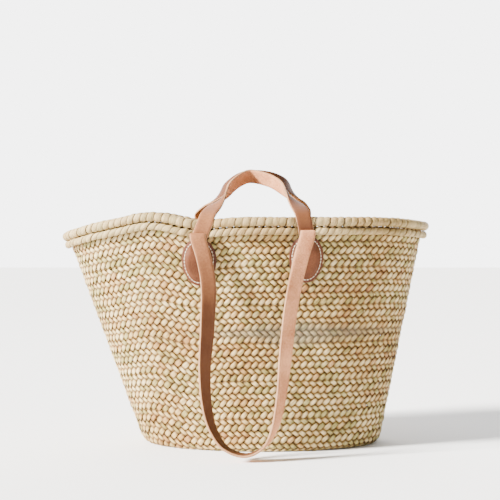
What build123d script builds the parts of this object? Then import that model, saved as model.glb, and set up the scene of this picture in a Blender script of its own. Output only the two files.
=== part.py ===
from build123d import *
import math
import os

# Woven market basket: an oval tub sewn from one long palm-leaf plait, a whipped rim,
# and four leather handles held by four oval leather patches.
# Frame: +Z up, X along the length, -Y the front; the origin is the centre of the flat base.
# All sizes in millimetres.

# Tub: its oval section grows evenly with height, more on the left end than on the right.
base_half_length = 162.5
base_half_depth = 91.0
left_flare = 0.367
right_flare = 0.20
side_flare = 0.085
wall_thickness = 5.0
corner_steps = [(0.0, 8.0), (4.0, 2.5), (12.0, 0.0)]  # (height, inset) of the rounded foot

# Rim line: level on the front, with a low hump and dip near the left handle, drooping ends.
rim_height = 310.0
tub_top = rim_height + 20.0
hump_rise, hump_x, hump_spread = 6.5, -145.0, 35.0
dip_depth, dip_x, dip_spread = 4.0, -80.0, 30.0
left_droop, left_droop_from, left_droop_run = 24.0, -150.0, 123.0
right_droop, right_droop_from, right_droop_run = 8.0, 140.0, 90.0

# Rim: a roll on the wall's top edge and a thinner cord under it, outside the wall.
rim_roll_height = 12.5
rim_roll_inside = 6.0
rim_overhang = 8.0
rim_cord_height = 9.5
rim_cord_gap = 1.5

# Plait rounds and the palm cord that sews each to the next.
round_count = 6
plait_width = 48.0
sewing_cord = 2.0
sewing_cord_inset = 1.0

# Leather patches, one under each handle leg.
patch_x = [-82.0, 57.0]
patch_width = 46.0
patch_height = 61.0
patch_rim_gap = 1.0
patch_stand_off = 7.5
stitch_inset = 4.5
stitch_length = 3.2
stitch_width = 0.9
stitch_count = 34

# Straps: flat leather, skived thinner where it is sewn under a patch.
strap_width = 20.0
strap_thickness = 3.2
end_thickness = 2.4
end_length = 50.0
long_end_lift = 3.0
clearance = 0.1
notch_depth = 1.9
notch_side = 1.5

# Short handles lean inwards over the mouth; long straps hang outside.
short_hinge_rise = 2.5
short_reach = 122.0
short_lean = 63.0
long_hinge_off = 11.0
long_hinge_rise = 5.0
long_drop = 281.0
long_swing = 6.5
long_shape = [(0.08, 0.15), (0.11, 0.45), (0.11, 0.72), (0.20, 0.90), (0.45, 0.992),
              (0.65, 0.94), (0.755, 0.80), (0.81, 0.55), (0.89, 0.22)]


def rim_z(x):
    """Height of the rim's top at the length x."""
    hump = hump_rise * math.exp(-(((x - hump_x) / hump_spread) ** 2))
    dip = dip_depth * math.exp(-(((x - dip_x) / dip_spread) ** 2))
    left = left_droop * (max(0.0, left_droop_from - x) / left_droop_run) ** 2
    right = right_droop * (max(0.0, x - right_droop_from) / right_droop_run) ** 2
    return rim_height + hump - dip - left - right


def tub_section(z):
    """Centre, half length and half depth of the outer oval at the height z."""
    centre = (right_flare - left_flare) / 2 * z
    half_length = base_half_length + (left_flare + right_flare) / 2 * z
    return centre, half_length, base_half_depth + side_flare * z


def tub(offset):
    """Solid tub, its side faces moved outwards by offset."""
    ovals = []
    for z, inset in corner_steps + [(tub_top, 0.0)]:
        centre, half_length, half_depth = tub_section(z)
        grow = offset - inset
        oval = Ellipse(half_length + grow, half_depth + grow)
        ovals.append(Pos(centre, 0, z) * oval)
    return loft(ovals, ruled=True)


def below_rim(drop):
    """Everything lower than the rim line moved down by drop."""
    left, right, floor = -330.0, 300.0, -40.0
    steps = 18
    line = Spline(
        [
            (left + (right - left) * i / steps, rim_z(left + (right - left) * i / steps) - drop)
            for i in range(steps + 1)
        ]
    )
    start, end = line @ 0, line @ 1
    outline = line + Polyline((end.X, end.Y), (right, floor), (left, floor), (start.X, start.Y))
    side = Plane.XZ * make_face(outline)
    return extrude(side, amount=200, both=True)


def ring(inner, outer, drop_top, drop_bottom=None):
    """Band of the tub wall between two offsets and two drops below the rim line."""
    band = (tub(outer) - tub(inner)) & below_rim(drop_top)
    if drop_bottom is not None:
        band -= below_rim(drop_bottom)
    return band


def wall_frame(x):
    """Frame on the wall under the rim at x: x along the wall, y up it, z straight out of it."""
    top = rim_z(x) - rim_roll_height - rim_cord_gap - rim_cord_height - patch_rim_gap
    centre, half_length, half_depth = tub_section(top)
    share = (x - centre) / half_length
    y = -half_depth * math.sqrt(1 - share**2)
    along = Vector(1, -half_depth / half_length * share * half_depth / y, 0).normalized()
    low_centre, low_length, low_depth = tub_section(top - patch_height)
    low_x = low_centre + share * low_length
    low_y = -low_depth * math.sqrt(1 - share**2)
    up = Vector(x - low_x, y - low_y, patch_height)
    out = along.cross(up).normalized()
    return Plane(origin=(x, y, top), x_dir=along, z_dir=out)


def strap_end(frame, route):
    """Sewn end of a strap: a flat strip that follows route, given as (off the wall, up)."""
    profile = Plane(origin=frame.origin, x_dir=frame.z_dir, z_dir=frame.x_dir)
    flip = 1 if profile.y_dir.dot(frame.y_dir) > 0 else -1
    line = Polyline([(off, flip * up) for off, up in route])
    return extrude(profile * trace(line, end_thickness), amount=strap_width / 2, both=True)


def ribbon(path, sections, width_at):
    """Strap along path, its width turned to width_at(share) at each share of the length."""
    shapes = []
    for i in range(sections + 1):
        share = i / sections
        ahead = path % share
        across = width_at(share)
        across = (across - ahead * across.dot(ahead)).normalized()
        place = Plane(origin=path @ share, x_dir=across, z_dir=ahead)
        shapes.append(place * Rectangle(strap_width, strap_thickness))
    return loft(shapes, ruled=True)


def patch_outline(frame, inset):
    """Egg-shaped outline, broad end up, as a flat face on the wall frame."""
    half_width = patch_width / 2 - inset
    top, bottom = -inset, inset - patch_height
    waist = top - (top - bottom) * 0.42
    upper = Spline((-half_width, waist), (0, top), (half_width, waist), tangents=[(0, 1), (0, -1)])
    lower = Spline((half_width, waist), (0, bottom), (-half_width, waist), tangents=[(0, -1), (0, 1)])
    return frame * make_face(upper + lower)


os.makedirs("parts", exist_ok=True)
nodes = {}

# Base: a flat oval of plait, and the cord that sews it to the wall's foot.
foot_inset = wall_thickness + sewing_cord
base_slab = extrude(Rectangle(600, 400), amount=wall_thickness)
nodes["base_plait"] = tub(-foot_inset) & base_slab
cord_height = wall_thickness - 2 * sewing_cord_inset
cord_slab = Pos(0, 0, sewing_cord_inset) * extrude(Rectangle(600, 400), amount=cord_height)
nodes["base_sewing_cord"] = (tub(-wall_thickness) - tub(-foot_inset)) & cord_slab

# Wall: plait rounds from the rim down, each sewn to the one above by a hidden cord.
drop = rim_roll_height
for number in range(1, round_count + 1):
    low = None if number == round_count else drop + plait_width
    nodes[f"wall_plait_round_{number}"] = ring(-wall_thickness, 0, drop, low)
    if low is not None:
        nodes[f"wall_sewing_cord_{number}"] = ring(
            sewing_cord_inset - wall_thickness, -sewing_cord_inset, low, low + sewing_cord
        )
        drop = low + sewing_cord

# Rim roll and rim cord, pressed in where the straps cross them.
rim_roll = ring(-rim_roll_inside, rim_overhang, 0, rim_roll_height)
cord_top = rim_roll_height + rim_cord_gap
rim_cord = ring(clearance, rim_overhang, cord_top, cord_top + rim_cord_height)
notch_width = strap_width + 2 * notch_side
notches = []
for x in patch_x:
    block = Box(notch_width, 60, 30, align=(Align.CENTER, Align.CENTER, Align.MIN))
    front = wall_frame(x) * Pos(0, 0, notch_depth) * block
    notches += [front, mirror(front, about=Plane.XZ)]
for notch in notches:
    rim_roll -= notch
    rim_cord -= notch
nodes["rim_roll"] = rim_roll
nodes["rim_cord"] = rim_cord

# Handle ends, patches and stitching, front set first; the back set mirrors it.
short_ends = []
long_ends = []
rim_rise = patch_rim_gap + rim_cord_height + rim_cord_gap + rim_roll_height
short_off = clearance + end_thickness / 2
long_off = short_off + end_thickness + clearance
leg_off = notch_depth + 2 * clearance + end_thickness / 2
for side, x in zip(["left", "right"], patch_x):
    frame = wall_frame(x)
    short_route = [(short_off, -end_length), (short_off, -7), (leg_off, -1), (leg_off, rim_rise + 0.4)]
    long_route = [(long_off, -end_length), (long_off, -10), (long_off + long_end_lift, 2)]
    short_end = strap_end(frame, short_route)
    long_end = strap_end(frame, long_route)
    short_ends.append(short_end)
    long_ends.append(long_end)
    blank = extrude(patch_outline(frame, 0), amount=40, both=True)
    patch = (tub(patch_stand_off) - tub(clearance)) & blank
    patch = patch - short_end - long_end
    nodes[f"front_{side}_patch"] = patch
    seam = patch_outline(frame, stitch_inset).face().outer_wire()
    stitches = []
    for i in range(stitch_count):
        share = i / stitch_count
        here = seam @ share
        centre, half_length, half_depth = tub_section(here.Z)
        half_length += patch_stand_off
        half_depth += patch_stand_off
        y = -half_depth * math.sqrt(1 - ((here.X - centre) / half_length) ** 2)
        place = Plane(origin=(here.X, y, here.Z), x_dir=seam % share, z_dir=frame.z_dir)
        lift = Pos(0, 0, clearance + stitch_width / 2)
        stitches.append(place * lift * Box(stitch_length, stitch_width, stitch_width))
    nodes[f"front_{side}_stitching"] = Compound(children=stitches)
nodes["front_short_handle_ends"] = Compound(children=short_ends)
nodes["front_long_strap_ends"] = Compound(children=long_ends)

# Short handle: an arch in a plane that leans inwards, its strap turned edge-on by the top.
frames = [wall_frame(x) for x in patch_x]
short_feet = [f.origin + f.z_dir * leg_off + f.y_dir * (rim_rise + short_hinge_rise) for f in frames]
along = (short_feet[1] - short_feet[0]).normalized()
middle = (short_feet[0] + short_feet[1]) * 0.5
lean = math.radians(short_lean)
rise = Vector(0, math.sin(lean), math.cos(lean))
rise = (rise - along * rise.dot(along)).normalized()
half_span = (short_feet[1] - short_feet[0]).length / 2
shoulder = short_reach * 0.52
arch = Spline(
    [
        short_feet[0],
        middle - along * (half_span - 8) + rise * shoulder * 0.5,
        middle - along * (half_span - 22) + rise * shoulder,
        middle + rise * short_reach,
        middle + along * (half_span - 22) + rise * shoulder,
        middle + along * (half_span - 8) + rise * shoulder * 0.5,
        short_feet[1],
    ],
    tangents=[rise, rise * -1],
)
face = along.cross(rise).normalized()


def short_turn(share):
    """Width along the rim at the feet, across the arch's plane over its top."""
    turned = min(1.0, max(0.0, (min(share, 1 - share) - 0.04) / 0.26))
    angle = turned * turned * (3 - 2 * turned) * math.pi / 2
    return along * math.cos(angle) + face * math.sin(angle)


nodes["front_short_handle_loop"] = ribbon(arch, 36, short_turn)

# Long strap: hangs as a U, twisted so that its width points outwards at the bottom.
long_feet = [f.origin + f.z_dir * long_hinge_off + f.y_dir * long_hinge_rise for f in frames]
span = long_feet[1] - long_feet[0]
swing = math.radians(long_swing)
down = Vector(0, -math.sin(swing), -math.cos(swing))
down = (down - span * (down.dot(span) / span.length**2)).normalized()
hang = Spline(
    [long_feet[0]] + [long_feet[0] + span * a + down * long_drop * b for a, b in long_shape] + [long_feet[1]],
    tangents=[down, down * -1],
)
width_way = span.normalized()
forward = Vector(0, -1, 0)


def long_turn(share):
    """Width along the wall at the folds, straight out at the bottom of the U."""
    turned = min(1.0, max(0.0, (min(share, 1 - share) - 0.06) / 0.36))
    angle = turned * turned * (3 - 2 * turned) * math.pi / 2
    return width_way * math.cos(angle) + forward * (-math.sin(angle))


nodes["front_long_strap_loop"] = ribbon(hang, 44, long_turn)

for name in [n for n in nodes if n.startswith("front_")]:
    nodes[name.replace("front_", "back_", 1)] = mirror(nodes[name], about=Plane.XZ)

for name, shape in nodes.items():
    export_step(shape, f"parts/{name}.step")

print("short hinge feet", short_feet)
print("long hinge feet", long_feet)
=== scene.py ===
import math
import bpy
import numpy as np
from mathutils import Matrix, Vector


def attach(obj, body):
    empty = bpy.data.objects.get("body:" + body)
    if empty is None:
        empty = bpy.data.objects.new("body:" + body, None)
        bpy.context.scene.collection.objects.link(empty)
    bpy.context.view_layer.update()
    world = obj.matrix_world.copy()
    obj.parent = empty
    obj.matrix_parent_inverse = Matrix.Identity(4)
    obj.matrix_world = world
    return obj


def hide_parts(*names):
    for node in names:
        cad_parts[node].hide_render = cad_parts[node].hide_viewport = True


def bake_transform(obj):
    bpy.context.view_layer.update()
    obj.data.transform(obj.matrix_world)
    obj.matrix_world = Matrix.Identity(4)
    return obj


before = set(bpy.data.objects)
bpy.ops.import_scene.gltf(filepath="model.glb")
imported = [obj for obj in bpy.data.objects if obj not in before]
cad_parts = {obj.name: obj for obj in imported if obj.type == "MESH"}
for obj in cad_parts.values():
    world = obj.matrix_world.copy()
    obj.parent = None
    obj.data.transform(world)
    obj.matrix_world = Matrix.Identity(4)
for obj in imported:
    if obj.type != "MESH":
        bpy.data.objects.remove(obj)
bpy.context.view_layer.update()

# ---- Tub shape ----
# The basket's body is an oval that opens evenly upwards, further on the left end than on the
# right; its rim is level on the front, with a low hump left of the handle and drooping ends.
BASE_HALF_LENGTH, BASE_HALF_DEPTH = 0.1625, 0.091
LEFT_FLARE, RIGHT_FLARE, SIDE_FLARE = 0.367, 0.20, 0.085
RIM_HEIGHT = 0.310
FOOT_HEIGHT, FOOT_INSET, FOOT_ARC = 0.012, 0.008, 0.016
PATCH_X = (-0.082, 0.057)


def rim_z(x):
    """Height of the rim's top at the length x."""
    hump = 0.0065 * np.exp(-(((x + 0.145) / 0.035) ** 2))
    dip = 0.004 * np.exp(-(((x + 0.080) / 0.030) ** 2))
    left = 0.024 * (np.maximum(0.0, -0.150 - x) / 0.123) ** 2
    right = 0.008 * (np.maximum(0.0, x - 0.140) / 0.090) ** 2
    return RIM_HEIGHT + hump - dip - left - right


def oval(z):
    """Centre, half length and half depth of the outer oval at the height z."""
    centre = (RIGHT_FLARE - LEFT_FLARE) / 2 * z
    half_length = BASE_HALF_LENGTH + (LEFT_FLARE + RIGHT_FLARE) / 2 * z
    return centre, half_length, BASE_HALF_DEPTH + SIDE_FLARE * z


def even_angles(half_length, half_depth, count):
    """Angles that part an oval's outline into even lengths, from the back round by the left."""
    turn = np.linspace(-math.pi, math.pi, 2001)
    x, y = half_length * np.sin(turn), -half_depth * np.cos(turn)
    run = np.concatenate([[0], np.cumsum(np.hypot(np.diff(x), np.diff(y)))])
    return np.interp(np.linspace(0, run[-1], count), run, turn), run[-1]


def wall_point(turn, drop, off=0.0):
    """Point and outward normal of the wall at an angle, that far under the rim's top."""
    z = rim_z(0.0 * turn) - drop
    for _ in range(12):
        centre, half_length, half_depth = oval(np.maximum(z, 0))
        z = rim_z(centre + half_length * np.sin(turn)) - drop
    over = np.maximum(0.0, FOOT_HEIGHT - z)
    bend = np.minimum(over / FOOT_ARC, 1) * math.pi / 2
    inset = FOOT_INSET * (1 - np.cos(bend)) + np.maximum(0.0, over - FOOT_ARC)
    height = np.where(over > 0, FOOT_HEIGHT * (1 - np.sin(bend)), z)
    centre, half_length, half_depth = oval(height)
    a, b = half_length - inset + off, half_depth - inset + off
    x, y = centre + a * np.sin(turn), -b * np.cos(turn)
    nx, ny = np.sin(turn) / a, -np.cos(turn) / b
    size = np.hypot(nx, ny)
    lean = -np.where(np.sin(turn) < 0, LEFT_FLARE, RIGHT_FLARE) * np.abs(nx / size)
    lean = lean - SIDE_FLARE * np.abs(ny / size)
    flat = np.cos(bend)
    nz = lean * flat - np.sin(bend)
    out = np.stack([nx / size * flat, ny / size * flat, nz], -1)
    out /= np.linalg.norm(out, axis=-1, keepdims=True)
    return np.stack([x, y, height], -1), out


def new_object(name, data):
    """Object linked into the scene."""
    made = bpy.data.objects.new(name, data)
    bpy.context.scene.collection.objects.link(made)
    return made


def guide_surface(name, points, normals):
    """Grid mesh over points[row, column], with the map called wrap and the attribute called out."""
    rows, columns = points.shape[:2]
    corner = np.arange(rows * columns).reshape(rows, columns)
    quads = np.stack([corner[:-1, :-1], corner[:-1, 1:], corner[1:, 1:], corner[1:, :-1]], -1)
    mesh = bpy.data.meshes.new(name)
    mesh.from_pydata(points.reshape(-1, 3).tolist(), [], quads.reshape(-1, 4).tolist())
    across, down = np.meshgrid(np.linspace(0, 1, columns), np.linspace(0, 1, rows))
    flat = np.stack([across.ravel(), down.ravel()], -1)
    layer = mesh.uv_layers.new(name="wrap")
    layer.data.foreach_set("uv", flat[quads.ravel()].ravel())
    out = mesh.attributes.new("out", "FLOAT_VECTOR", "POINT")
    out.data.foreach_set("vector", normals.reshape(-1))
    return new_object(name, mesh)


# ---- Node helpers ----
# Short calls that add a node and join it up, for the geometry trees and for the finishes.
def add(tree, kind, inputs=None, **settings):
    """New node in tree; inputs maps a socket's name or number to a value or another socket."""
    node = tree.nodes.new(kind)
    for key, value in settings.items():
        setattr(node, key, value)
    for key, value in (inputs or {}).items():
        if isinstance(value, bpy.types.NodeSocket):
            tree.links.new(value, node.inputs[key])
        else:
            node.inputs[key].default_value = value
    return node


def maths(tree, operation, first, second=0.0, third=0.0):
    """Result of one Math node."""
    inputs = {0: first, 1: second, 2: third}
    return add(tree, "ShaderNodeMath", inputs, operation=operation).outputs[0]


def interface(tree, name, kind, default=None, way="INPUT"):
    """New named socket of a tree."""
    socket = tree.interface.new_socket(name, in_out=way, socket_type=kind)
    if default is not None:
        socket.default_value = default
    return socket


def sockets(tree, *wanted):
    """Named inputs of a tree, each given as its name, its kind and, where it has one, its default."""
    for name, kind, *default in wanted:
        interface(tree, name, "NodeSocket" + kind, *default)


def run_tree(guide, tree, values, name):
    """Plain mesh object that a geometry tree makes from a guide, which is then removed."""
    modifier = guide.modifiers.new("make", "NODES")
    modifier.node_group = tree
    for item in tree.interface.items_tree:
        if item.name in values and item.in_out == "INPUT":
            modifier[item.identifier] = values[item.name]
    bpy.context.view_layer.update()
    solved = guide.evaluated_get(bpy.context.evaluated_depsgraph_get())
    mesh = bpy.data.meshes.new_from_object(solved)
    guide.modifiers.clear()
    old = guide.data
    bpy.data.objects.remove(guide)
    bpy.data.meshes.remove(old)
    return new_object(name, mesh)


def named(tree, name, kind="FLOAT"):
    """Reads a stored attribute."""
    return add(tree, "GeometryNodeInputNamedAttribute", {"Name": name}, data_type=kind).outputs[0]


def random_share(tree, low, high, number, seed):
    """Random number for each strip."""
    inputs = {2: low, 3: high, 7: number, 8: seed}
    return add(tree, "FunctionNodeRandomValue", inputs, data_type="FLOAT").outputs[1]


def store(tree, geometry, name, value, kind="FLOAT_VECTOR"):
    """Stores an attribute on the points."""
    inputs = {"Geometry": geometry, "Name": name, "Value": value}
    node = add(tree, "GeometryNodeStoreNamedAttribute", inputs, data_type=kind, domain="POINT")
    return node.outputs[0]


def place_on_guide(tree, guide, geometry, u, v, off):
    """Moves points to the guide surface at (u, v), off along its outward normal."""
    where = add(tree, "ShaderNodeCombineXYZ", {0: u, 1: v}).outputs[0]
    source = named(tree, "wrap", "FLOAT_VECTOR")
    spots = []
    for value in (add(tree, "GeometryNodeInputPosition").outputs[0], named(tree, "out", "FLOAT_VECTOR")):
        inputs = {"Mesh": guide, "Value": value, "Source UV Map": source, "Sample UV": where}
        sample = add(tree, "GeometryNodeSampleUVSurface", inputs, data_type="FLOAT_VECTOR")
        spots.append(sample.outputs[0])
    inputs = {0: spots[1], "Scale": off}
    shift = add(tree, "ShaderNodeVectorMath", inputs, operation="SCALE").outputs[0]
    position = add(tree, "ShaderNodeVectorMath", {0: spots[0], 1: shift}, operation="ADD").outputs[0]
    return add(tree, "GeometryNodeSetPosition", {"Geometry": geometry, "Position": position}).outputs[0]


def strip_row(tree, count, steps, spacing=10.0):
    """Row of palm strips, each a thin closed tube one unit long, and its own coordinates."""
    ring = add(tree, "GeometryNodeCurvePrimitiveCircle", {"Resolution": 8, "Radius": 1.0})
    line = add(tree, "GeometryNodeCurvePrimitiveLine", {"Start": (0, 0, 0), "End": (0, 1, 0)})
    even = add(tree, "GeometryNodeResampleCurve", {"Curve": line.outputs[0], "Count": steps})
    inputs = {"Curve": even.outputs[0], "Profile Curve": ring.outputs[0], "Fill Caps": True}
    tube = add(tree, "GeometryNodeCurveToMesh", inputs)
    points = add(tree, "GeometryNodeMeshLine", {"Count": count, "Offset": (spacing, 0, 0)})
    index = add(tree, "GeometryNodeInputIndex").outputs[0]
    marked = store(tree, points.outputs[0], "strip", index, "FLOAT")
    inputs = {"Points": marked, "Instance": tube.outputs[0]}
    many = add(tree, "GeometryNodeInstanceOnPoints", inputs)
    real = add(tree, "GeometryNodeRealizeInstances", {0: many.outputs[0]}).outputs[0]
    strip = named(tree, "strip")
    here = add(tree, "ShaderNodeSeparateXYZ", {0: add(tree, "GeometryNodeInputPosition").outputs[0]})
    across = maths(tree, "SUBTRACT", here.outputs[0], maths(tree, "MULTIPLY", strip, spacing))
    return real, strip, across, here.outputs[1], here.outputs[2]


# ---- Palm plait ----
# Palm-leaf strips plaited over two and under two. Each strip is a closed, slightly domed leaf;
# one family leans each way, and rows of steep floats alternate with rows of flatter ones.
PLAIT_PITCH = 0.0093
ROW_PERIOD = 0.01667
CELL = ROW_PERIOD / 4
MARGIN = 2.0
WALL_INSET = 0.0021


def plait_tree():
    tree = bpy.data.node_groups.new("palm_plait", "GeometryNodeTree")
    sockets(
        tree, ("Guide", "Geometry"), ("Columns", "Int", 100), ("Rows", "Float", 12.0),
        ("Steps", "Int", 31), ("Bow", "Float", 0.00125), ("Leaf Thickness", "Float", 0.0008),
        ("Inset", "Float", WALL_INSET), ("Lean", "Float", -0.06), ("Seed", "Int", 1),
        ("Leaf", "Material")
    )
    interface(tree, "Plait", "NodeSocketGeometry", way="OUTPUT")
    given = tree.nodes.new("NodeGroupInput").outputs
    rows = given["Rows"]
    families = []
    for number, side in enumerate((1.0, -1.0)):
        real, strip, across, along, depth = strip_row(tree, given["Columns"], given["Steps"])
        seed = maths(tree, "ADD", given["Seed"], 40.0 * number)
        wide = random_share(tree, 0.87, 1.07, strip, seed)
        shift = random_share(tree, -0.09, 0.09, strip, maths(tree, "ADD", seed, 7.0))
        raised = random_share(tree, 0.70, 1.25, strip, maths(tree, "ADD", seed, 13.0))
        tone = random_share(tree, 0.0, 1.0, strip, maths(tree, "ADD", seed, 19.0))
        run = maths(tree, "MULTIPLY_ADD", along, maths(tree, "ADD", rows, 0.5), -0.75)
        offset = maths(tree, "MULTIPLY", maths(tree, "MULTIPLY", across, 0.5), wide)
        offset = maths(tree, "ADD", offset, shift)
        half = maths(tree, "MULTIPLY", run, 0.5 * side)
        column = maths(tree, "ADD", strip, maths(tree, "MULTIPLY_ADD", offset, 0.5, half))
        row = maths(tree, "MULTIPLY_ADD", offset, -side, run)
        phase = maths(tree, "MULTIPLY_ADD", run, math.pi / 2, math.pi / 4)
        wave = maths(tree, "MULTIPLY", maths(tree, "SINE", phase), side)
        bent = maths(tree, "MULTIPLY_ADD", row, math.pi / 2, math.pi / 4)
        tall = maths(tree, "MULTIPLY_ADD", maths(tree, "COSINE", bent), -0.14, row)
        column = maths(tree, "SUBTRACT", column, maths(tree, "MULTIPLY", tall, given["Lean"]))
        u = maths(tree, "FRACT", maths(tree, "DIVIDE", column, given["Columns"]))
        top = maths(tree, "SUBTRACT", maths(tree, "ADD", rows, MARGIN), tall)
        v = maths(tree, "DIVIDE", top, maths(tree, "ADD", rows, 2 * MARGIN))
        lift = maths(tree, "MULTIPLY", maths(tree, "MULTIPLY", wave, raised), given["Bow"])
        lift = maths(tree, "MULTIPLY_ADD", depth, given["Leaf Thickness"], lift)
        lift = maths(tree, "SUBTRACT", lift, given["Inset"])
        leaf = add(tree, "ShaderNodeCombineXYZ", {0: across, 1: run, 2: tone}).outputs[0]
        place = add(tree, "ShaderNodeCombineXYZ", {0: column, 1: tall, 2: wave}).outputs[0]
        real = store(tree, real, "leaf", leaf)
        real = store(tree, real, "place", place)
        families.append(place_on_guide(tree, given["Guide"], real, u, v, lift))
    both = add(tree, "GeometryNodeJoinGeometry")
    for family in families:
        tree.links.new(family, both.inputs[0])
    smooth = add(tree, "GeometryNodeSetShadeSmooth", {0: both.outputs[0]}).outputs[0]
    inputs = {"Geometry": smooth, "Material": given["Leaf"]}
    done = add(tree, "GeometryNodeSetMaterial", inputs)
    tree.links.new(done.outputs[0], add(tree, "NodeGroupOutput").inputs[0])
    return tree


def tint_group():
    """Slow mottling of a finish: a factor that drifts over the surface, and fine speckle."""
    tree = bpy.data.node_groups.new("mottle", "ShaderNodeTree")
    interface(tree, "Coarse", "NodeSocketFloat", 9.0)
    interface(tree, "Fine", "NodeSocketFloat", 260.0)
    interface(tree, "Drift", "NodeSocketFloat", way="OUTPUT")
    interface(tree, "Speckle", "NodeSocketFloat", way="OUTPUT")
    given = tree.nodes.new("NodeGroupInput").outputs
    spot = add(tree, "ShaderNodeTexCoord").outputs["Object"]
    ends = tree.nodes.new("NodeGroupOutput").inputs
    for number, name in enumerate(("Coarse", "Fine")):
        inputs = {"Vector": spot, "Scale": given[name], "Detail": 4.0, "Roughness": 0.55}
        noise = add(tree, "ShaderNodeTexNoise", inputs)
        tree.links.new(noise.outputs[0], ends[number])
    return tree


mottle = tint_group()


def ramp(tree, factor, *stops):
    """Colour ramp through (place, colour) stops."""
    node = add(tree, "ShaderNodeValToRGB", {0: factor})
    elements = node.color_ramp.elements
    while len(elements) < len(stops):
        elements.new(0.5)
    for element, (place, colour) in zip(elements, stops):
        element.position = place
        element.color = (*colour, 1.0)
    return node.outputs[0]


def mix(tree, factor, first, second, blend="MIX"):
    """Mixes two colours."""
    node = add(tree, "ShaderNodeMix", data_type="RGBA", blend_type=blend)
    for number, value in ((0, factor), (6, first), (7, second)):
        if isinstance(value, bpy.types.NodeSocket):
            tree.links.new(value, node.inputs[number])
        else:
            node.inputs[number].default_value = (*value, 1.0) if number else value
    return node.outputs[2]


def new_finish(name, roughness, sheen=0.0):
    """Material with one Principled shader; returns the material, its tree and the shader."""
    material = bpy.data.materials.new(name)
    material.use_nodes = True
    tree = material.node_tree
    shader = tree.nodes["Principled BSDF"]
    shader.inputs["Roughness"].default_value = roughness
    shader.inputs["Sheen Weight"].default_value = sheen
    return material, tree, shader


def bump(tree, shader, height, strength, distance):
    """Small relief on a shader."""
    inputs = {"Strength": strength, "Distance": distance, "Height": height}
    node = add(tree, "ShaderNodeBump", inputs)
    tree.links.new(node.outputs[0], shader.inputs["Normal"])


def fibre_finish(name, roughness, dark, light, strength, distance, fine=260.0):
    """Bundled fibres: fine speckle from the dark gaps to the light crowns, with a small relief."""
    material, tree, shader = new_finish(name, roughness)
    speckle = add(tree, "ShaderNodeGroup", {"Fine": fine}, node_tree=mottle).outputs["Speckle"]
    tree.links.new(ramp(tree, speckle, (0.3, dark), (0.7, light)), shader.inputs["Base Color"])
    bump(tree, shader, speckle, strength, distance)
    return material


CREAM = (0.80, 0.64, 0.34)
STRAW = (0.62, 0.42, 0.17)
BLUSH = (0.50, 0.27, 0.12)
SAGE = (0.42, 0.36, 0.13)
SLATE = (0.17, 0.16, 0.12)
BLEACHED = (0.76, 0.64, 0.38)
GREY_AREA_X, GREY_AREA_Z = 0.050, 0.158


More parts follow.
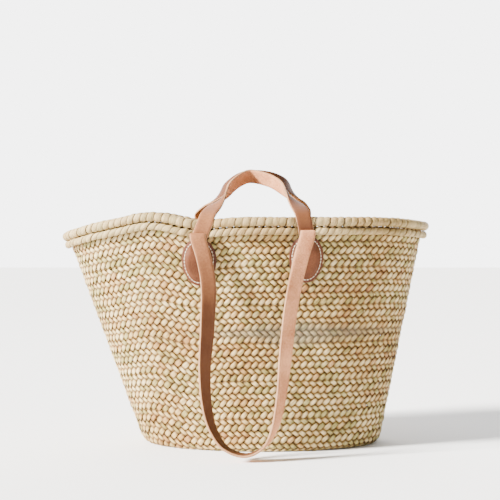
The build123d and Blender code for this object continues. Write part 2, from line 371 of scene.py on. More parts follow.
def palm_finish(name, greyed, pale=0.0):
    """Dried palm leaf: every strip has its own tone, whole rows drift to tan or green."""
    material, tree, shader = new_finish(name, 0.62)
    leaf = add(tree, "ShaderNodeAttribute", attribute_name="leaf").outputs["Vector"]
    place = add(tree, "ShaderNodeAttribute", attribute_name="place").outputs["Vector"]
    across, run, tone = add(tree, "ShaderNodeSeparateXYZ", {0: leaf}).outputs
    wave = add(tree, "ShaderNodeSeparateXYZ", {0: place}).outputs[2]
    drift, speckle = add(tree, "ShaderNodeGroup", node_tree=mottle).outputs
    spot = add(tree, "ShaderNodeTexCoord").outputs["Object"]
    band = add(tree, "ShaderNodeMapping", {0: spot, "Scale": (5.0, 5.0, 62.0)}).outputs[0]
    rows = add(tree, "ShaderNodeTexNoise", {"Vector": band, "Scale": 1.0, "Detail": 2.0}).outputs[0]
    float_id = maths(tree, "FLOOR", maths(tree, "MULTIPLY_ADD", run, 0.25, 0.125))
    seed = add(tree, "ShaderNodeCombineXYZ", {0: maths(tree, "MULTIPLY", tone, 97.0), 1: float_id})
    own = add(tree, "ShaderNodeTexWhiteNoise", {"Vector": seed.outputs[0]}, noise_dimensions="3D").outputs[0]
    blend = maths(tree, "ADD", maths(tree, "MULTIPLY", own, 0.55), maths(tree, "MULTIPLY", rows, 0.75))
    blend = maths(tree, "ADD", blend, maths(tree, "MULTIPLY", drift, 0.3))
    stops = ((0.40, BLUSH), (0.56, STRAW), (0.72, CREAM), (0.88, CREAM), (1.0, SAGE))
    colour = mix(tree, pale, ramp(tree, blend, *stops), BLEACHED)
    fibre = add(tree, "ShaderNodeCombineXYZ", {0: across, 1: run, 2: maths(tree, "MULTIPLY", tone, 50.0)})
    stretched = add(tree, "ShaderNodeMapping", {0: fibre.outputs[0], "Scale": (5.0, 0.35, 1.0)}).outputs[0]
    lines = add(tree, "ShaderNodeTexNoise", {"Vector": stretched, "Scale": 2.2, "Detail": 3.0}).outputs[0]
    shade = ramp(tree, lines, (0.34, (0.50, 0.42, 0.30)), (0.60, (1.0, 1.0, 1.0)))
    colour = mix(tree, 1.0, colour, shade, "MULTIPLY")
    # Painted shade: each strip is darkened where it slopes between passing over and under its neighbours.
    crown = maths(tree, "ABSOLUTE", wave)
    shaded = (0.0, (0.10, 0.065, 0.03)), (0.34, (0.40, 0.30, 0.18)), (0.86, (1, 1, 1))
    colour = mix(tree, 1.0, colour, ramp(tree, crown, *shaded), "MULTIPLY")
    # Painted shade: both edges of every strip are darkened, for the dark slits between neighbouring strips.
    edge = ramp(tree, maths(tree, "ABSOLUTE", across), (0.66, (1, 1, 1)), (0.98, (0.30, 0.22, 0.13)))
    colour = mix(tree, 1.0, colour, edge, "MULTIPLY")
    if greyed:
        x, y, z = add(tree, "ShaderNodeSeparateXYZ", {0: spot}).outputs
        high = maths(tree, "ABSOLUTE", maths(tree, "SUBTRACT", z, GREY_AREA_Z))
        wide = maths(tree, "ABSOLUTE", maths(tree, "SUBTRACT", x, GREY_AREA_X))
        reach = maths(tree, "MULTIPLY_ADD", high, 60.0, maths(tree, "MULTIPLY", wide, 7.0))
        front = maths(tree, "LESS_THAN", y, 0.0)
        grey = add(tree, "ShaderNodeMapRange", {0: reach, 1: 0.5, 2: 1.25, 3: 0.62, 4: 0.0}).outputs[0]
        colour = mix(tree, maths(tree, "MULTIPLY", grey, front), colour, SLATE)
    patchy = ramp(tree, drift, (0.38, (0.74, 0.66, 0.52)), (0.58, (1, 1, 1)))
    colour = mix(tree, 1.0, colour, patchy, "MULTIPLY")
    tree.links.new(colour, shader.inputs["Base Color"])
    shader.inputs["Specular IOR Level"].default_value = 0.25
    bump(tree, shader, lines, 0.5, 0.0005)
    return material


palm = palm_finish("dried_palm_leaf", True)
palm_floor = palm_finish("dried_palm_leaf_base", False)
twill = plait_tree()


def plait(guide, name, columns, rows, seed, leaf, lean=-0.06, bow=0.0016):
    """Plait of strips on a guide surface, as a plain mesh."""
    values = {"Columns": columns, "Rows": float(rows), "Seed": seed, "Leaf": leaf, "Lean": lean}
    values["Steps"] = int(2.5 * rows) + 3
    values["Bow"] = bow
    if leaf is palm_floor:
        values["Inset"] = 0.0
    return run_tree(guide, twill, values, name)


# ---- Wall: six rounds of plait ----
# The plait is carried up in rounds, three row pairs each, sewn edge to edge by a hidden cord so
# that the rows run on from one round to the next. The lowest round turns in under the base.
ROUND_COUNT = 6
ROLL_HEIGHT = 0.0125
ROUND_ROWS = 12
ROUND_HEIGHT = ROUND_ROWS * CELL
for number in range(1, ROUND_COUNT + 1):
    high = ROLL_HEIGHT + (number - 1) * ROUND_HEIGHT
    rows = ROUND_ROWS if number < ROUND_COUNT else ROUND_ROWS + 4
    low = high + rows * CELL
    middle = RIM_HEIGHT - (high + low) / 2
    _, half_length, half_depth = oval(middle)
    turns, around = even_angles(half_length, half_depth, 181)
    drops = np.linspace(high - MARGIN * CELL, low + MARGIN * CELL, 25)
    turn_grid, drop_grid = np.meshgrid(turns, drops)
    points, normals = wall_point(turn_grid, drop_grid)
    guide = guide_surface("round_guide", points, normals)
    name = f"wall_plait_{number}"
    woven = plait(guide, name, round(around / PLAIT_PITCH), rows, number, palm)
    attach(woven, "basket")
    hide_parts(f"wall_plait_round_{number}")


# ---- Base: an oval coil of plait ----
# The base starts as a straight line of plait and is coiled round it, row beside row, until it
# meets the wall's lowest round.
BASE_LIFT = 0.0025
RING_ROWS = (8, 8, 2)
FOOT_GAP = 0.014
for number, rows in enumerate(RING_ROWS):
    outer_inset = FOOT_GAP + sum(RING_ROWS[:number]) * CELL
    middle = outer_inset + rows * CELL / 2
    turns, around = even_angles(BASE_HALF_LENGTH - middle, BASE_HALF_DEPTH - middle, 145)
    insets = np.linspace(outer_inset - MARGIN * CELL, outer_inset + (rows + MARGIN) * CELL, 13)
    turn_grid, inset_grid = np.meshgrid(turns, insets)
    a = BASE_HALF_LENGTH - inset_grid
    b = np.maximum(BASE_HALF_DEPTH - inset_grid, 0.0005)
    height = np.full_like(a, BASE_LIFT)
    points = np.stack([a * np.sin(turn_grid), -b * np.cos(turn_grid), height], -1)
    normals = np.zeros_like(points)
    normals[..., 2] = -1
    guide = guide_surface("base_guide", points, normals)
    name = f"base_plait_ring_{number + 1}"
    woven = plait(guide, name, round(around / PLAIT_PITCH), rows, 20 + number, palm_floor, bow=0.0012)
    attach(woven, "basket")
    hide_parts("base_plait")


# ---- Rim: whipped roll and cord ----
# A core of leaf stems lies on the wall's top edge and is whipped over and over with palm strips;
# a thinner cord, whipped the same way, is sewn under it outside. Both are pressed in by the straps.
OVERHANG = 0.008
CORD_HEIGHT = 0.0095
CORD_GAP = 0.0015
PRESSED_OFF = 0.0019
PRESSED_SHIFT = (0.0085, -0.0045)


def whipping_tree():
    tree = bpy.data.node_groups.new("whipping", "GeometryNodeTree")
    sockets(
        tree, ("Guide", "Geometry"), ("Turns", "Int", 120), ("Slant", "Float", 1.0),
        ("Leaf Thickness", "Float", 0.0007), ("Dome", "Float", 0.0006), ("Seed", "Int", 1),
        ("Leaf", "Material")
    )
    interface(tree, "Whipping", "NodeSocketGeometry", way="OUTPUT")
    given = tree.nodes.new("NodeGroupInput").outputs
    real, strip, across, along, depth = strip_row(tree, given["Turns"], 25)
    seed = given["Seed"]
    wide = random_share(tree, 0.98, 1.24, strip, seed)
    raised = random_share(tree, 0.1, 1.5, strip, maths(tree, "ADD", seed, 5.0))
    skew = random_share(tree, -0.10, 0.10, strip, maths(tree, "ADD", seed, 9.0))
    tone = random_share(tree, 0.0, 1.0, strip, maths(tree, "ADD", seed, 19.0))
    side = maths(tree, "MULTIPLY", maths(tree, "MULTIPLY", across, 0.51), wide)
    column = maths(tree, "ADD", strip, maths(tree, "ADD", side, skew))
    column = maths(tree, "MULTIPLY_ADD", along, given["Slant"], column)
    u = maths(tree, "FRACT", maths(tree, "DIVIDE", maths(tree, "ADD", column, 1.0), given["Turns"]))
    dome = maths(tree, "SUBTRACT", 1.0, maths(tree, "MULTIPLY", across, across))
    dome = maths(tree, "MULTIPLY", maths(tree, "MULTIPLY", dome, given["Dome"]), raised)
    lift = maths(tree, "MULTIPLY_ADD", depth, given["Leaf Thickness"], dome)
    run = maths(tree, "MULTIPLY", along, 5.0)
    leaf = add(tree, "ShaderNodeCombineXYZ", {0: across, 1: run, 2: tone}).outputs[0]
    place = add(tree, "ShaderNodeCombineXYZ", {0: column, 1: run, 2: 0.6}).outputs[0]
    real = store(tree, store(tree, real, "leaf", leaf), "place", place)
    v = maths(tree, "MINIMUM", maths(tree, "MAXIMUM", along, 0.0001), 0.9999)
    wound = place_on_guide(tree, given["Guide"], real, u, v, lift)
    smooth = add(tree, "GeometryNodeSetShadeSmooth", {0: wound}).outputs[0]
    done = add(tree, "GeometryNodeSetMaterial", {"Geometry": smooth, "Material": given["Leaf"]})
    tree.links.new(done.outputs[0], add(tree, "NodeGroupOutput").inputs[0])
    return tree


def roll_surface(inside, outside, top, height, shrink=0.0, count=721, around=25):
    """Points and normals of a roll that runs along the rim, with an oval section."""
    _, half_length, half_depth = oval(RIM_HEIGHT)
    turns, length = even_angles(half_length, half_depth, count)
    spot, out = wall_point(turns, np.full_like(turns, top + height / 2))
    out[:, 2] = 0
    out /= np.linalg.norm(out, axis=1, keepdims=True)
    places = [x + shift * (1 - top / 0.020) for x, shift in zip(PATCH_X, PRESSED_SHIFT)]
    pressed = sum(np.exp(-(((spot[:, 0] - x) / 0.0142) ** 4)) for x in places)
    outer = outside + (PRESSED_OFF - outside) * pressed
    middle, reach = (outer + inside) / 2, (outer - inside) / 2 - shrink
    angle = np.linspace(-math.pi, math.pi, around)[:, None]
    rise = (height / 2 - shrink) * np.sin(angle)
    go = middle[None] + reach[None] * np.cos(angle)
    points = spot[None] + out[None] * go[..., None]
    points[..., 2] += rise
    normals = out[None] * (np.cos(angle) / reach[None])[..., None]
    normals[..., 2] = np.sin(angle) / (height / 2 - shrink)
    normals /= np.linalg.norm(normals, axis=-1, keepdims=True)
    return points, normals, length


def closed_roll(name, points, material):
    """Closed tube mesh through the points of a roll."""
    points = points[:-1, :-1]
    rows, columns = points.shape[:2]
    corner = np.arange(rows * columns).reshape(rows, columns)
    right, up = np.roll(corner, -1, 1), np.roll(corner, -1, 0)
    quads = np.stack([corner, right, np.roll(right, -1, 0), up], -1)
    mesh = bpy.data.meshes.new(name)
    mesh.from_pydata(points.reshape(-1, 3).tolist(), [], quads.reshape(-1, 4).tolist())
    mesh.materials.append(material)
    mesh.shade_smooth()
    return new_object(name, mesh)


# The core under the whipping is real, but its dark colour is painted shade for the gaps between the whipping
# turns.
rim_core = fibre_finish("rim_core", 0.8, (0.10, 0.07, 0.04), (0.30, 0.23, 0.13), 0.5, 0.0005)
rim_palm = palm_finish("whipped_palm", False, 0.6)
whipping = whipping_tree()
rolls = {
    "rim_roll": (-0.006, OVERHANG, 0.0, ROLL_HEIGHT, 0.0095, 1.0),
    "rim_cord": (-0.0002, OVERHANG, ROLL_HEIGHT + CORD_GAP, CORD_HEIGHT, 0.0098, 1.6),
}
STRIP_ROOM = 0.0010
for seed, (name, (inside, outside, top, height, pitch, slant)) in enumerate(rolls.items()):
    surface, normals, length = roll_surface(inside, outside, top, height, STRIP_ROOM)
    guide = guide_surface("rim_guide", surface, normals)
    values = {"Turns": round(length / pitch), "Slant": slant, "Seed": 60 + seed, "Leaf": rim_palm}
    wound = run_tree(guide, whipping, values, f"{name}_whipping")
    core = closed_roll(f"{name}_core", roll_surface(inside, outside, top, height, 0.0014)[0], rim_core)
    for piece in (wound, core):
        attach(piece, "basket")
        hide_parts(name)


# ---- Sewing cords ----
# Two-ply palm cord runs inside the joint of every two rounds, and round the foot of the wall.
CORD_THICK = 0.0014
CORD_INSET, FOOT_CORD_INSET = 0.0025, 0.006
cord_palm = fibre_finish("twisted_palm_cord", 0.75, (0.30, 0.22, 0.12), (0.50, 0.39, 0.22), 0.5, 0.0004)


def lay_cord(name, spot, out):
    """Closed cord along a line of points, given the way off the basket at each."""
    angle = np.linspace(-math.pi, math.pi, 9)[:, None]
    points = spot[None] + out[None] * (CORD_THICK / 2 * np.cos(angle))[..., None]
    points[..., 2] += CORD_THICK / 2 * np.sin(angle)
    return closed_roll(name, points, cord_palm)


for number in range(1, ROUND_COUNT):
    drop = ROLL_HEIGHT + number * ROUND_HEIGHT - 0.001
    _, half_length, half_depth = oval(RIM_HEIGHT - drop)
    turns, _ = even_angles(half_length, half_depth, 361)
    cord = lay_cord(f"sewing_cord_{number}", *wall_point(turns, np.full_like(turns, drop), -CORD_INSET))
    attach(cord, "basket")
    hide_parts(f"wall_sewing_cord_{number}")
a, b = BASE_HALF_LENGTH - FOOT_CORD_INSET, BASE_HALF_DEPTH - FOOT_CORD_INSET
turns, _ = even_angles(a, b, 361)
spot = np.stack([a * np.sin(turns), -b * np.cos(turns), np.full_like(turns, BASE_LIFT)], -1)
out = np.stack([np.sin(turns), -np.cos(turns), 0 * turns], -1)
cord = lay_cord("sewing_cord_base", spot, out)
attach(cord, "basket")
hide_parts("base_sewing_cord")


# ---- Leather straps ----
# Each handle is one flat strap of vegetable-tanned leather, smooth on one side and rough on the
# other, cut with square edges. Its two ends are sewn under a patch; the short pair leans in over
# the mouth and the long pair is folded down over the patches and hangs as a twisted loop.
STRAP_WIDTH, STRAP_THICK = 0.020, 0.0030
PATCH_RIM_GAP = 0.001
PATCH_WIDTH, PATCH_HEIGHT = 0.046, 0.061
RIM_RISE = PATCH_RIM_GAP + CORD_HEIGHT + CORD_GAP + ROLL_HEIGHT


def ease(value):
    """Smooth step from 0 to 1."""
    value = np.clip(value, 0, 1)
    return value * value * (3 - 2 * value)


def to_array(vector):
    return np.array(tuple(vector))


def wall_frame(x):
    """Point under the rim at x, and the ways along the wall, up it and out of it."""
    top = rim_z(x) - RIM_RISE
    centre, half_length, half_depth = oval(top)
    share = (x - centre) / half_length
    y = -half_depth * math.sqrt(1 - share**2)
    along = Vector((1, half_depth / half_length * share / math.sqrt(1 - share**2), 0)).normalized()
    low = top - PATCH_HEIGHT
    low_centre, low_length, low_depth = oval(low)
    low_y = -low_depth * math.sqrt(1 - share**2)
    up = Vector((x - low_centre - share * low_length, y - low_y, PATCH_HEIGHT))
    out = along.cross(up).normalized()
    return Vector((x, y, top)), along, out.cross(along).normalized(), out


feet = [wall_frame(x) for x in PATCH_X]


def on_wall(foot, off, up, shift=0.0):
    """Point off the wall and up it from a patch's top, shifted along the rim."""
    spot, along, rise, out = foot
    return spot + out * off + rise * up + along * shift


def width_way(run, between, face, turn, start):
    """Width of a strap at each point: flat on the wall at its ends, turned about its run between."""
    ways = [to_array(v) for v in (feet[0][1], feet[1][1], between)]
    left = 1 - ease((run - start) / 0.020)
    right = 1 - ease((run[-1] - run - start) / 0.020)
    level = left[:, None] * ways[0] + right[:, None] * ways[1] + (1 - left - right)[:, None] * ways[2]
    return np.cos(turn)[:, None] * level + np.sin(turn)[:, None] * to_array(face)


def smooth_line(points, step=0.002):
    """Even points along a smooth line through given ones."""
    spots = np.array([tuple(p) for p in points])
    gaps = np.linalg.norm(np.diff(spots, axis=0), axis=1) ** 0.5
    knots = np.concatenate([[0], np.cumsum(gaps)])
    slopes = np.gradient(spots, knots, axis=0)
    fine = []
    for i in range(len(spots) - 1):
        span = knots[i + 1] - knots[i]
        t = np.linspace(0, 1, 60, endpoint=False)[:, None]
        stay, reach = 2 * t**3 - 3 * t**2 + 1, 3 * t**2 - 2 * t**3
        leave, arrive = t**3 - 2 * t**2 + t, t**3 - t**2
        bend = leave * slopes[i] + arrive * slopes[i + 1]
        fine.append(stay * spots[i] + reach * spots[i + 1] + span * bend)
    fine = np.concatenate(fine + [spots[-1:]])
    run = np.concatenate([[0], np.cumsum(np.linalg.norm(np.diff(fine, axis=0), axis=1))])
    even = np.linspace(0, run[-1], int(run[-1] / step) + 1)
    return np.stack([np.interp(even, run, fine[:, k]) for k in range(3)], -1), even


def strap_mesh(name, line, run, across, materials, seed):
    """Closed flat strap along a line; its sides are grain, rough flesh and cut edge."""
    ahead = np.gradient(line, axis=0)
    ahead /= np.linalg.norm(ahead, axis=1, keepdims=True)
    across = across - ahead * np.sum(across * ahead, axis=1, keepdims=True)
    across /= np.linalg.norm(across, axis=1, keepdims=True)
    face = np.cross(ahead, across)
    half, thick, round_off = STRAP_WIDTH / 2, STRAP_THICK / 2, 0.0006
    side = [(-half, -thick + round_off), (-half, thick - round_off)]
    top = [(k * (half - round_off), thick) for k in np.linspace(-1, 1, 7)]
    section = np.array(side + top + [(-x, -z) for x, z in side + top])
    rng = np.random.default_rng(seed)
    waves = [rng.uniform(0, 6.28, 3) for _ in range(2)]
    wide = 1 + 0.012 * np.sin(run / 0.031 + waves[0][0]) + 0.008 * np.sin(run / 0.012 + waves[0][1])
    cup = 0.00035 * np.sin(run / 0.043 + waves[1][0])
    x = section[None, :, 0] * wide[:, None]
    z = section[None, :, 1] + cup[:, None] * (section[None, :, 0] / half) ** 2
    points = line[:, None] + across[:, None] * x[..., None] + face[:, None] * z[..., None]
    count, ring = points.shape[:2]
    corner = np.arange(count * ring).reshape(count, ring)
    after = np.roll(corner, -1, 1)
    quads = np.stack([corner[:-1], corner[1:], after[1:], after[:-1]], -1)
    caps = [corner[0].tolist(), corner[-1][::-1].tolist()]
    mesh = bpy.data.meshes.new(name)
    mesh.from_pydata(points.reshape(-1, 3).tolist(), [], quads.reshape(-1, 4).tolist() + caps)
    kind = np.array([2, 2] + [0] * 6 + [2, 2, 2] + [1] * 6 + [2])
    kinds = np.concatenate([np.tile(kind, count - 1), [2, 2]])
    for material in materials:
        mesh.materials.append(material)
    mesh.polygons.foreach_set("material_index", kinds.astype(np.int32))
    where = np.stack(np.broadcast_arrays(x, run[:, None], z), -1).reshape(-1, 3)
    mesh.attributes.new("hide", "FLOAT_VECTOR", "POINT").data.foreach_set("vector", where.ravel())
    mesh.shade_smooth()
    mesh.set_sharp_from_angle(angle=math.radians(50))
    return new_object(name, mesh)


# Colour of the painted shade laid along the smooth side of the straps, for their legs turned from the light.
PAINTED_STRAP_SHADE = (0.075, 0.026, 0.011)


def leather_finish(name, light, dark, roughness, grain, depth, painted_shade=False):
    """Leather: pores or loose fibre at the grain's scale and, where asked, painted shade that darkens the
    strap along its run.
    """
    material, tree, shader = new_finish(name, roughness)
    hide = add(tree, "ShaderNodeAttribute", attribute_name="hide").outputs["Vector"]
    drift, speckle = add(tree, "ShaderNodeGroup", {"Coarse": 26.0, "Fine": grain}, node_tree=mottle).outputs
    pores = add(tree, "ShaderNodeTexVoronoi", {"Vector": hide, "Scale": grain * 3.2}).outputs[0]
    tone = maths(tree, "ADD", maths(tree, "MULTIPLY", drift, 0.6), maths(tree, "MULTIPLY", speckle, 0.4))
    colour = ramp(tree, tone, (0.36, dark), (0.62, light))
    # Painted shade: from 5 cm along its run onward the strap is darkened, for the shade on its legs turned
    # from the light.
    if painted_shade:
        run = add(tree, "ShaderNodeSeparateXYZ", {0: hide}).outputs[1]
        shade = add(tree, "ShaderNodeMapRange", {0: run, 1: 0.050, 2: 0.125, 3: 0.0, 4: 0.80}).outputs[0]
        colour = mix(tree, shade, colour, PAINTED_STRAP_SHADE)
    tree.links.new(colour, shader.inputs["Base Color"])
    shader.inputs["Specular IOR Level"].default_value = 0.08
    height = maths(tree, "ADD", maths(tree, "MULTIPLY", pores, 0.6), speckle)
    bump(tree, shader, height, depth, 0.0004)
    return material


smooth_tones = (0.29, 0.120, 0.052), (0.17, 0.066, 0.030)
# The smooth side is the one given the painted shade along its run.
grain_side = leather_finish("strap_leather_smooth", *smooth_tones, 0.50, 420.0, 0.25, True)
rough_tones = (0.74, 0.34, 0.17), (0.38, 0.145, 0.066)
flesh_side = leather_finish("strap_leather_rough", *rough_tones, 0.85, 640.0, 1.0)
cut_edge = leather_finish("strap_leather_edge", (0.44, 0.24, 0.13), (0.28, 0.14, 0.07), 0.7, 600.0, 0.4)

# Short handles: up over the rim, twisted a quarter turn, arched over the mouth and down again.
SHORT_HINGE_UP, SHORT_REACH, SHORT_LEAN = RIM_RISE + 0.0025, 0.122, math.radians(63)
LEG_OFF = 0.0033
short_feet = [on_wall(foot, LEG_OFF, SHORT_HINGE_UP) for foot in feet]
along = (short_feet[1] - short_feet[0]).normalized()
middle = (short_feet[0] + short_feet[1]) / 2
rise = Vector((0, math.sin(SHORT_LEAN), math.cos(SHORT_LEAN)))
rise = (rise - along * rise.dot(along)).normalized()
half_span = (short_feet[1] - short_feet[0]).length / 2
shoulder = SHORT_REACH * 0.52
arch_face = along.cross(rise).normalized()


def short_route(left_arch, right_arch, left_shift, right_shift):
    """Points of a short handle from under one patch to under the other."""
    sewn = ((0.0016, -0.022, 0.0), (0.0017, -0.007, 0.0), (LEG_OFF, 0.003, 0.15), (LEG_OFF, 0.020, 0.8))
    left = [on_wall(feet[0], off, up, left_shift * part) for off, up, part in sewn]
    right = [on_wall(feet[1], off, up, -right_shift * part) for off, up, part in reversed(sewn)]
    left += [middle - along * (half_span - inside) + rise * high for inside, high in left_arch]
    down = [middle + along * (half_span - inside) + rise * high for inside, high in reversed(right_arch)]
    return left + [middle + rise * SHORT_REACH] + down + right


def mirrored(line, across):
    """The same strap on the back of the basket."""
    flip = np.array([1, -1, 1])
    return line * flip, across * flip


front_arch = (
    ((0.0120, 0.006), (0.0225, 0.034), (0.0350, 0.064), (0.0480, 0.096), (0.0590, 0.113)),
    ((0.0060, 0.004), (0.0140, 0.040), (0.0215, 0.064), (0.0310, 0.088), (0.0450, 0.108)),
    0.0105, 0.0050,
)
back_arch = (
    ((-0.0050, 0.004), (0.0095, 0.036), (0.0225, 0.064), (0.0360, 0.090), (0.0540, 0.114)),
    ((-0.0060, 0.006), (-0.0010, 0.030), (0.0045, 0.052), (0.0140, 0.080), (0.0260, 0.102),
     (0.0440, 0.117)),
    -0.0030, -0.0050,
)
for side, arch in (("front", front_arch), ("back", back_arch)):
    line, run = smooth_line(short_route(*arch))
    share = run / run[-1]
    turn = math.pi * (0.5 * ease((share - 0.18) / 0.20) + 0.5 * ease((share - 0.62) / 0.22))
    across = width_way(run, along, arch_face, turn, 0.030)
    if side == "back":
        line, across = mirrored(line, across)
    sides = (flesh_side, grain_side, cut_edge) if side == "front" else (grain_side, flesh_side, cut_edge)
    strap = strap_mesh(f"{side}_short_handle", line, run, across, sides, 5)
    hinge = middle if side == "front" else Vector((middle.x, -middle.y, middle.z))
    low, high = hinge - Vector((0, 0, 0.008)), hinge + Vector((0, 0, 0.006))
    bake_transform(strap)
    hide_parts(f"{side}_short_handle_loop", f"{side}_short_handle_ends")

# Long straps: out from under the patch, folded down over it, hanging as a loop with half a twist.
LONG_HINGE_OFF, LONG_HINGE_UP, LONG_DROP, LONG_SWING = 0.011, 0.005, 0.281, math.radians(6.5)
LOOP_SHAPE = ((0.05, 0.10), (0.085, 0.22), (0.065, 0.42), (0.032, 0.62), (0.045, 0.78), (0.096, 0.885),
              (0.20, 0.965), (0.38, 1.0), (0.545, 0.965), (0.645, 0.88), (0.71, 0.74), (0.76, 0.55),
              (0.825, 0.33), (0.92, 0.13))
LOOP_TURNS = ((0, 0), (0.10, 5), (0.17, 16), (0.26, 38), (0.33, 50), (0.40, 60), (0.50, 88), (0.60, 58),
              (0.66, 48), (0.72, 32), (0.83, 30), (0.92, 12), (1, 0))
long_feet = [on_wall(foot, LONG_HINGE_OFF, LONG_HINGE_UP) for foot in feet]
span = long_feet[1] - long_feet[0]
down = Vector((0, -math.sin(LONG_SWING), -math.cos(LONG_SWING)))
down = (down - span * (down.dot(span) / span.length**2)).normalized()
fold = ((0.0042, -0.022), (0.0044, -0.007), (0.0050, 0.0002), (0.0064, 0.0042), (0.0090, 0.0068),
        (0.0112, 0.0045))
left = [on_wall(feet[0], off, up) for off, up in fold]
right = [on_wall(feet[1], off, up) for off, up in reversed(fold)]
loop = [long_feet[0] + span * a + down * (LONG_DROP * b) for a, b in LOOP_SHAPE]
for side in ("front", "back"):
    line, run = smooth_line(left + loop + right)
    share = run / run[-1]
    turn = np.radians(np.interp(share, *zip(*LOOP_TURNS)))
    turn = np.convolve(np.pad(turn, 12, mode="edge"), np.ones(25) / 25, "valid")
    across = width_way(run, span.normalized(), (0, 1, 0), turn, 0.026)
    if side == "back":
        line, across = mirrored(line, across)
    sides = (grain_side, flesh_side, cut_edge) if side == "front" else (flesh_side, grain_side, cut_edge)
    strap = strap_mesh(f"{side}_long_strap", line, run, across, sides, 8)
    hinge = (long_feet[0] + long_feet[1]) / 2
    out = Vector((span.y, -span.x, 0)).normalized()
    near, far = hinge - out * 0.0035, hinge + out * 0.0002
    if side == "back":
        near, far = Vector((near.x, -near.y, near.z)), Vector((far.x, -far.y, far.z))
    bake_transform(strap)
    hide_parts(f"{side}_long_strap_loop", f"{side}_long_strap_ends")


# ---- Leather patches ----
# Each pair of strap ends is covered by an egg-shaped patch of thick red-brown leather, pressed
# down hard along its stitched edge and bulging where the strap ends lie under it.
EGG = (0.10, 0.92)
# Colour the patch darkens to towards its edge.
PATCH_EDGE_DARK = (0.085, 0.032, 0.022)


def egg_outline(inset, count=144):
    """Points of the patch outline from its top middle, as (x, up) from the patch's top."""
    angle = np.linspace(0, 2 * math.pi, count, endpoint=False)
    half_wide, half_high = PATCH_WIDTH / 2 - inset, PATCH_HEIGHT / 2 - inset
    up = half_high * np.cos(angle)
    wide = half_wide * np.sign(np.sin(angle)) * np.abs(np.sin(angle)) ** EGG[1]
    wide = wide * (1 + EGG[0] * up / half_high)
    return wide / (1 + EGG[0] * 0.25), up - PATCH_HEIGHT / 2


def patch_height_at(wide, up):
    """Height of the patch's face off the wall: domed over the straps, low at the edge."""
    far = np.hypot(wide / (PATCH_WIDTH / 2), (up + PATCH_HEIGHT / 2) / (PATCH_HEIGHT / 2))
    bridge = ease((0.0150 - np.abs(wide)) / 0.005) * ease((up + 0.026) / 0.012)
    dome = 0.0028 + 0.0041 * np.maximum(ease((0.97 - far) / 0.42), bridge)
    groove = np.exp(-(((far - 0.86) / 0.05) ** 2))
    edge = ease((far - 0.93) / 0.07)
    return dome - (0.0007 * groove + 0.0005 * edge) * (1 - 0.8 * bridge)


def wall_behind(foot, wide, up):
    """Point and outward normal of the wall behind a patch, as far sideways and up from its top."""
    spot, way, rise, out = foot
    x = spot.x + way.x * wide + rise.x * up
    z = spot.z + rise.z * up + way.z * wide
    centre, half_length, _ = oval(z)
    turn = np.arcsin(np.clip((x - centre) / half_length, -1, 1))
    base, normal = wall_point(turn, rim_z(x) - z)
    flip = np.array([1, -1 if out.y > 0 else 1, 1])
    return base * flip, normal * flip


def patch_mesh(name, foot, material):
    """Closed patch following the wall behind it."""
    insets = np.concatenate([np.linspace(0, 0.0225, 26), [0.0229]])
    wide, up = zip(*[egg_outline(i) for i in insets])
    wide, up = np.array(wide), np.array(up)
    off = patch_height_at(wide, up)
    wide = np.concatenate([wide[:1] * 0.985, wide])
    up = np.concatenate([(up[:1] + PATCH_HEIGHT / 2) * 0.985 - PATCH_HEIGHT / 2, up])
    off = np.concatenate([np.zeros_like(off[:1]), off])
    base, normal = wall_behind(foot, wide, up)
    points = base + normal * off[..., None]
    rows, ring = points.shape[:2]
    corner = np.arange(rows * ring).reshape(rows, ring)
    after = np.roll(corner, -1, 1)
    quads = np.stack([corner[:-1], corner[1:], after[1:], after[:-1]], -1).reshape(-1, 4)
    caps = [corner[-1][::-1].tolist(), corner[0].tolist()]
    if foot[3].y > 0:
        quads, caps = quads[:, ::-1], [cap[::-1] for cap in caps]
    mesh = bpy.data.meshes.new(name)
    mesh.from_pydata(points.reshape(-1, 3).tolist(), [], quads.tolist() + caps)
    mesh.materials.append(material)
    far = np.hypot(wide / (PATCH_WIDTH / 2), (up + PATCH_HEIGHT / 2) / (PATCH_HEIGHT / 2))
    where = np.stack([wide, up, far], -1).reshape(-1, 3)
    mesh.attributes.new("hide", "FLOAT_VECTOR", "POINT").data.foreach_set("vector", where.ravel())
    mesh.shade_smooth()
    return new_object(name, mesh)


def patch_finish():
    """Red-brown leather, darker towards its pressed edge."""
    light, dark = (0.120, 0.042, 0.019), (0.060, 0.020, 0.009)
    material = leather_finish("patch_leather", light, dark, 0.46, 520.0, 0.35)
    tree = material.node_tree
    shader = next(n for n in tree.nodes if n.type == "BSDF_PRINCIPLED")
    hide = add(tree, "ShaderNodeAttribute", attribute_name="hide").outputs["Vector"]
    far = add(tree, "ShaderNodeSeparateXYZ", {0: hide}).outputs[2]
    # Darker towards the edge, over the stitched groove and the outer slope.
    edge = add(tree, "ShaderNodeMapRange", {0: far, 1: 0.84, 2: 1.0, 3: 0.0, 4: 0.75}).outputs[0]
    plain = shader.inputs["Base Color"].links[0].from_socket
    colour = mix(tree, edge, plain, PATCH_EDGE_DARK)
    tree.links.new(colour, shader.inputs["Base Color"])
    return material


def flipped(foot):
    """The same place on the back of the basket."""
    return tuple(Vector((v.x, -v.y, v.z)) for v in foot)


patch_leather = patch_finish()
places = {}
for side in ("front", "back"):
    for end, foot in zip(("left", "right"), feet):
        places[f"{side}_{end}"] = foot if side == "front" else flipped(foot)
for name, foot in places.items():
    patch = patch_mesh(f"{name}_patch", foot, patch_leather)
    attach(patch, "basket")
    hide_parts(f"{name}_patch")


# ---- Stitching ----
# Waxed thread runs round each patch in the pressed groove: short plump stitches with a gap between.
STITCHES = 34
STITCH_INSET = 0.0038


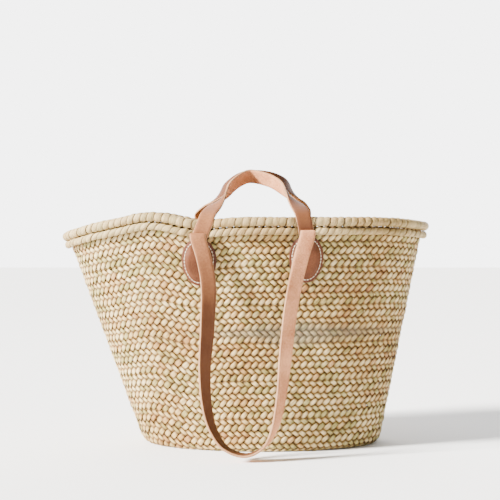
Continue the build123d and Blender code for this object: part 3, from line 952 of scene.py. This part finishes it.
def stitch_tree():
    tree = bpy.data.node_groups.new("stitching", "GeometryNodeTree")
    sockets(
        tree, ("Seam", "Geometry"), ("Length", "Float", 0.0036), ("Thickness", "Float", 0.00055),
        ("Seed", "Int", 3), ("Thread", "Material")
    )
    interface(tree, "Stitches", "NodeSocketGeometry", way="OUTPUT")
    given = tree.nodes.new("NodeGroupInput").outputs
    ball = add(tree, "GeometryNodeMeshUVSphere", {"Segments": 12, "Rings": 8, "Radius": 1.0}).outputs[0]
    index = add(tree, "GeometryNodeInputIndex").outputs[0]
    stretch = random_share(tree, 0.86, 1.08, index, given["Seed"])
    half = maths(tree, "MULTIPLY", maths(tree, "MULTIPLY", given["Length"], 0.5), stretch)
    size = add(tree, "ShaderNodeCombineXYZ", {0: half, 1: given["Thickness"], 2: given["Thickness"]})
    ahead = named(tree, "ahead", "FLOAT_VECTOR")
    outward = named(tree, "outward", "FLOAT_VECTOR")
    aim = add(tree, "FunctionNodeAlignRotationToVector", {"Vector": ahead}, axis="X").outputs[0]
    aim = add(tree, "FunctionNodeAlignRotationToVector", {"Rotation": aim, "Vector": outward},
              axis="Z", pivot_axis="X").outputs[0]
    put = {"Points": given["Seam"], "Instance": ball, "Rotation": aim, "Scale": size.outputs[0]}
    stitches = add(tree, "GeometryNodeInstanceOnPoints", put).outputs[0]
    real = add(tree, "GeometryNodeRealizeInstances", {0: stitches}).outputs[0]
    smooth = add(tree, "GeometryNodeSetShadeSmooth", {0: real}).outputs[0]
    done = add(tree, "GeometryNodeSetMaterial", {"Geometry": smooth, "Material": given["Thread"]})
    tree.links.new(done.outputs[0], add(tree, "NodeGroupOutput").inputs[0])
    return tree


thread = fibre_finish("waxed_thread", 0.6, (0.50, 0.38, 0.26), (0.86, 0.76, 0.60), 0.4, 0.0002, 900.0)
stitching = stitch_tree()
for seed, (name, foot) in enumerate(places.items()):
    wide, up = egg_outline(STITCH_INSET, 1440)
    run = np.concatenate([[0], np.cumsum(np.hypot(np.diff(wide), np.diff(up)))])
    even = np.linspace(0, run[-1], STITCHES, endpoint=False) + run[-1] / STITCHES / 2
    wide, up = np.interp(even, run, wide), np.interp(even, run, up)
    base, normal = wall_behind(foot, wide, up)
    points = base + normal * (patch_height_at(wide, up) + 0.0001)[:, None]
    ahead = np.roll(points, -1, 0) - np.roll(points, 1, 0)
    seam = bpy.data.meshes.new("seam")
    seam.from_pydata(points.tolist(), [], [])
    seam.attributes.new("ahead", "FLOAT_VECTOR", "POINT").data.foreach_set("vector", ahead.ravel())
    seam.attributes.new("outward", "FLOAT_VECTOR", "POINT").data.foreach_set("vector", normal.ravel())
    line = new_object("seam", seam)
    stitches = run_tree(line, stitching, {"Seed": seed, "Thread": thread}, f"{name}_stitching")
    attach(stitches, "basket")
    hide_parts(f"{name}_stitching")


# ---- Floor, light and camera ----
# A plain pale floor under soft studio light from the left and front, seen from the front.
def matt(name, colour):
    material = bpy.data.materials.new(name)
    material.use_nodes = True
    shader = material.node_tree.nodes["Principled BSDF"]
    shader.inputs["Base Color"].default_value = (*colour, 1)
    shader.inputs["Roughness"].default_value = 0.9
    shader.inputs["Specular IOR Level"].default_value = 0.0
    return material


bpy.ops.mesh.primitive_plane_add(size=12, location=(0, 0, 0))
floor = bpy.context.object
floor.name = "floor"
floor.data.materials.append(matt("floor_white", (0.92, 0.92, 0.92)))


def area_light(name, place, aim, size, power, colour=(1, 1, 1)):
    lamp = bpy.data.lights.new(name, "AREA")
    lamp.shape, lamp.size, lamp.energy, lamp.color = "SQUARE", size, power, colour
    made = new_object(name, lamp)
    made.location = place
    made.rotation_euler = (Vector(aim) - Vector(place)).to_track_quat("-Z", "Y").to_euler()


sun = bpy.data.lights.new("key", "SUN")
sun.energy, sun.angle, sun.color = 26.0, math.radians(11), (1.0, 0.97, 0.92)
key = new_object("key", sun)
key.rotation_euler = Vector((0.86, 0.33, -0.47)).to_track_quat("-Z", "Y").to_euler()
area_light("fill", (1.6, -1.9, 0.9), (0, 0, 0.15), 1.6, 4)
area_light("top", (-0.2, 0.3, 2.2), (0, 0, 0.2), 1.4, 22)

world = bpy.data.worlds.new("studio")
bpy.context.scene.world = world
world.use_nodes = True
world.node_tree.nodes["Background"].inputs["Color"].default_value = (1, 1, 1, 1)
toward = add(world.node_tree, "ShaderNodeTexCoord").outputs["Generated"]
behind = add(world.node_tree, "ShaderNodeSeparateXYZ", {0: toward}).outputs[1]
ends = {0: behind, 1: 0.3, 2: 0.98, 3: 0.28, 4: 5.5}
glow = add(world.node_tree, "ShaderNodeMapRange", ends, interpolation_type="SMOOTHERSTEP").outputs[0]
world.node_tree.links.new(glow, world.node_tree.nodes["Background"].inputs["Strength"])

lens = bpy.data.cameras.new("view")
lens.lens = 91.3
lens.sensor_width = 36
camera = new_object("view", lens)
camera.location = (-0.016, -1.75, 0.310)
camera.rotation_euler = (math.radians(88.5), 0, 0)
bpy.context.scene.camera = camera
